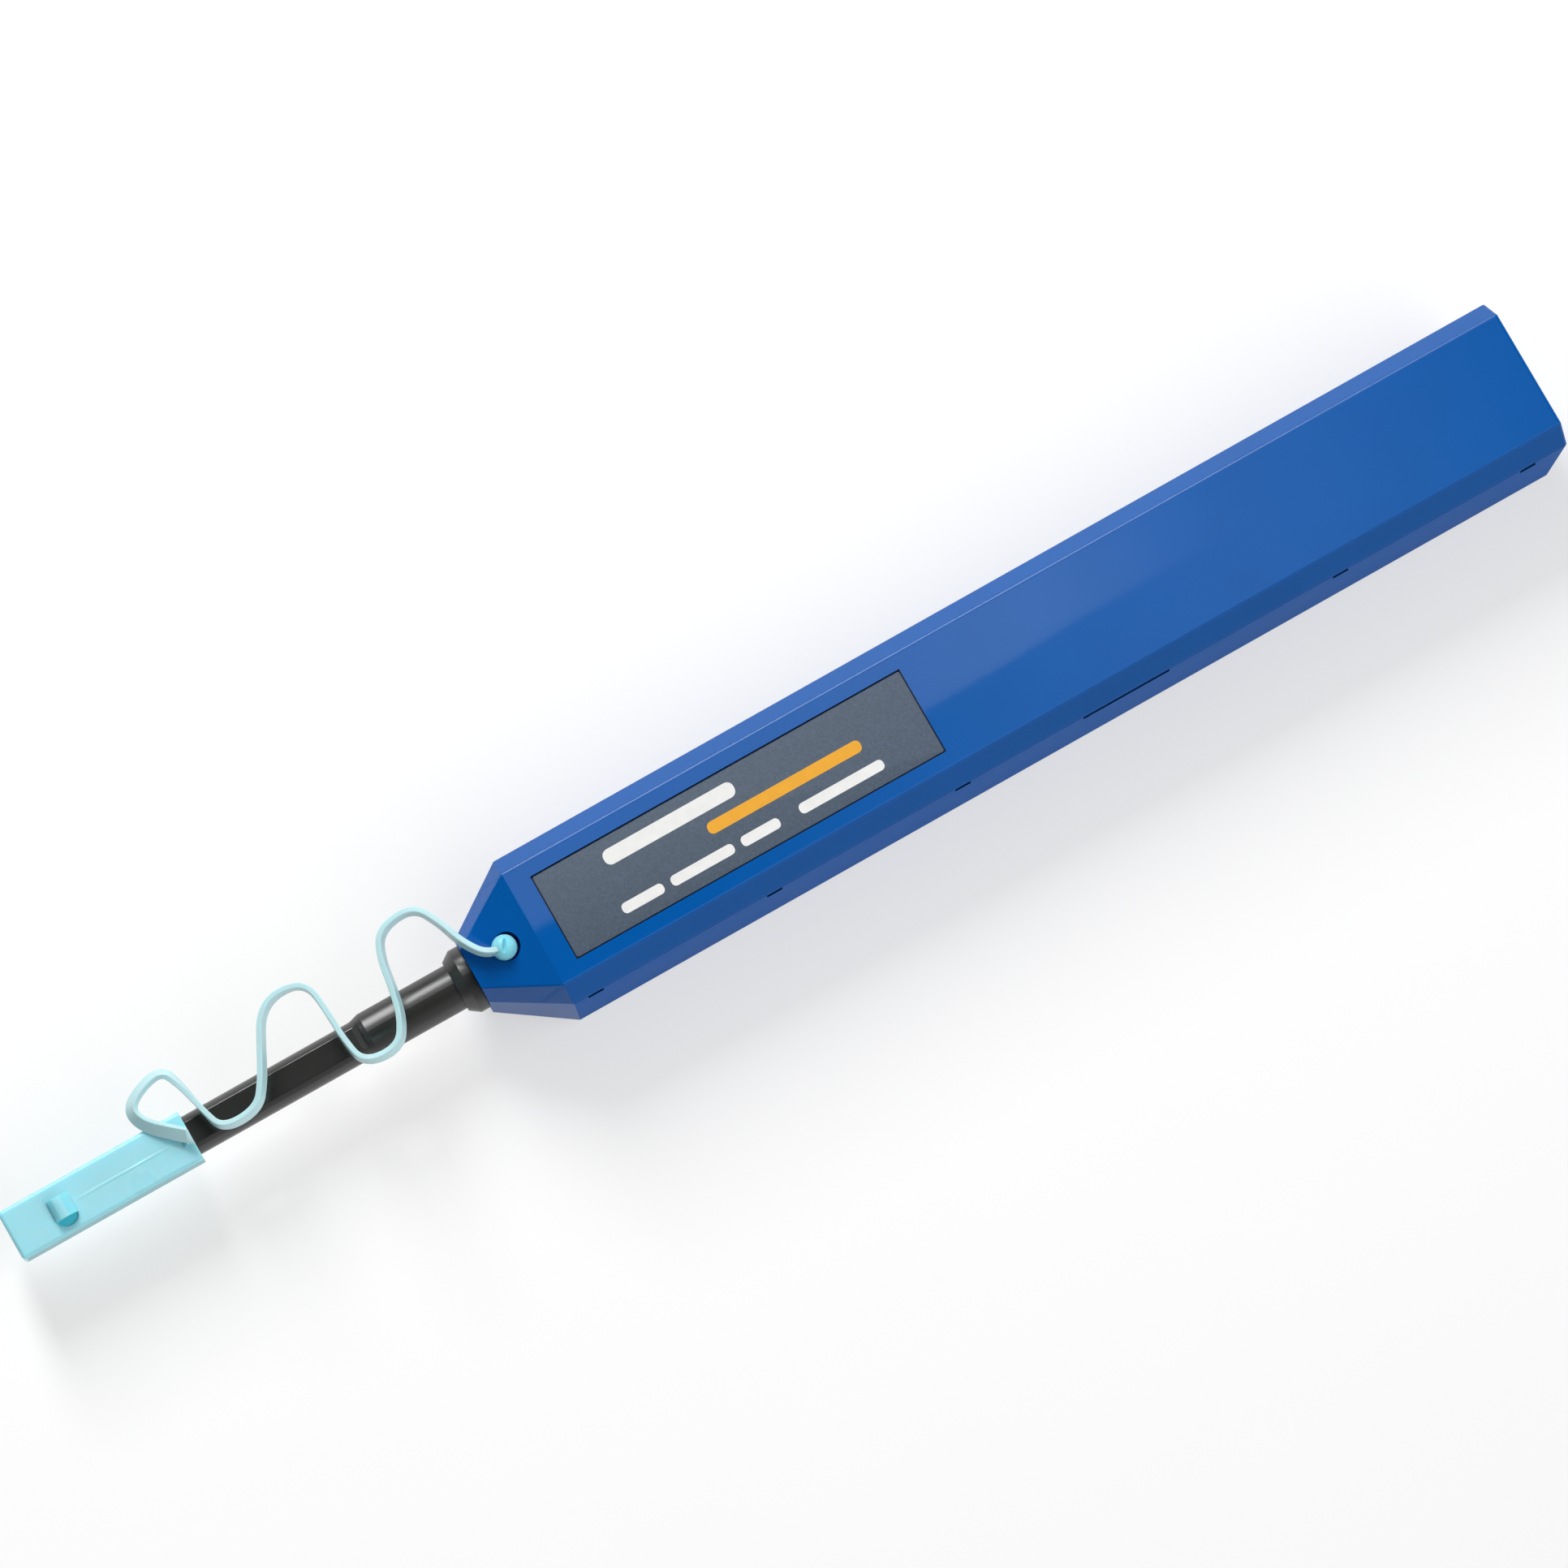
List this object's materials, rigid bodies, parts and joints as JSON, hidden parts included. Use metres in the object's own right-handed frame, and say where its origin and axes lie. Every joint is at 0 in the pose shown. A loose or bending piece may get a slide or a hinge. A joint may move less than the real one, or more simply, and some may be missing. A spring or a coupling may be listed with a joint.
{
  "type": "fibre connector cleaning pen",
  "caption": "Slim pen that cleans fibre connector end faces: a push slides the nozzle into the case, feeds thread over the tip and turns it; a clear guide cap hangs on a strap.",
  "frame": {"origin": "centre of the pen's box at the flat back face that it lies on", "axes": "+X from the tip to the rear, +Z out of the label face, +Y to the right seen from the rear"},
  "size_m": [0.1999, 0.0194, 0.0164],
  "materials": {
    "case_blue": "moulded satin gloss",
    "label_grey": "printed film",
    "nozzle_black": "moulded satin",
    "cap_clear": "translucent cyan",
    "inner_acetal": "moulded acetal",
    "spring_steel": "drawn wire",
    "cleaning_thread": "fine microfibre thread",
    "tip_polymer": "moulded polymer"
  },
  "bodies": {
    "case": {"upper_case": "case_blue", "lower_case": "case_blue", "label_plate": "label_grey", "nose_collar": "nozzle_black", "return_spring": "spring_steel", "tether_plug": "cap_clear"},
    "carriage": {"nozzle": "nozzle_black", "tip_sleeve": "spring_steel", "reel_frame": "inner_acetal", "supply_axle": "spring_steel", "takeup_axle": "spring_steel", "brake_leaf": "spring_steel", "supply_run": "cleaning_thread", "return_run": "cleaning_thread"},
    "cam": {"cam_shaft": "inner_acetal", "tip_spring": "spring_steel"},
    "head": {"cleaning_head": "tip_polymer", "tip_thread": "cleaning_thread"},
    "supply": {"supply_reel": "inner_acetal", "supply_thread": "cleaning_thread"},
    "takeup": {"takeup_reel": "inner_acetal", "takeup_gear": "inner_acetal", "clutch_spring": "spring_steel", "takeup_thread": "cleaning_thread"},
    "cap": {"guide_cap": "cap_clear", "cap_tether": "cap_clear"}
  },
  "joints": [
    {"name": "push_slide", "type": "slide", "parent": "case", "child": "carriage", "axis": [1, 0, 0], "range_m": [0, 0.008], "stiffness_N_per_m": 300, "springref_m": -0.006, "deforming": ["return_spring", "cap_tether"]},
    {"name": "cam_turn", "type": "hinge", "parent": "carriage", "child": "cam", "pos_m": [0, 0, 0.008], "axis": [1, 0, 0], "range_deg": [0, 180.5]},
    {"name": "head_press", "type": "slide", "parent": "cam", "child": "head", "axis": [1, 0, 0], "range_m": [0, 0.001], "stiffness_N_per_m": 200, "springref_m": -0.001, "deforming": ["tip_spring"]},
    {"name": "supply_turn", "type": "hinge", "parent": "carriage", "child": "supply", "pos_m": [0.02205, 0, 0.008], "axis": [0, 0, 1], "range_deg": [0, 52]},
    {"name": "takeup_turn", "type": "hinge", "parent": "carriage", "child": "takeup", "pos_m": [0.03705, 0, 0.008], "axis": [0, 0, 1], "range_deg": [0, 70]},
    {"name": "cap_pull", "type": "slide", "parent": "carriage", "child": "cap", "axis": [-1, 0, 0], "range_m": [0, 0.03], "deforming": ["cap_tether"]}
  ],
  "couplings": [
    {"joint": "cam_turn", "follows": "push_slide", "rad_per_m": 392.7},
    {"joint": "supply_turn", "follows": "push_slide", "rad_per_m": 112.23},
    {"joint": "takeup_turn", "follows": "push_slide", "rad_per_m": 151.52}
  ]
}
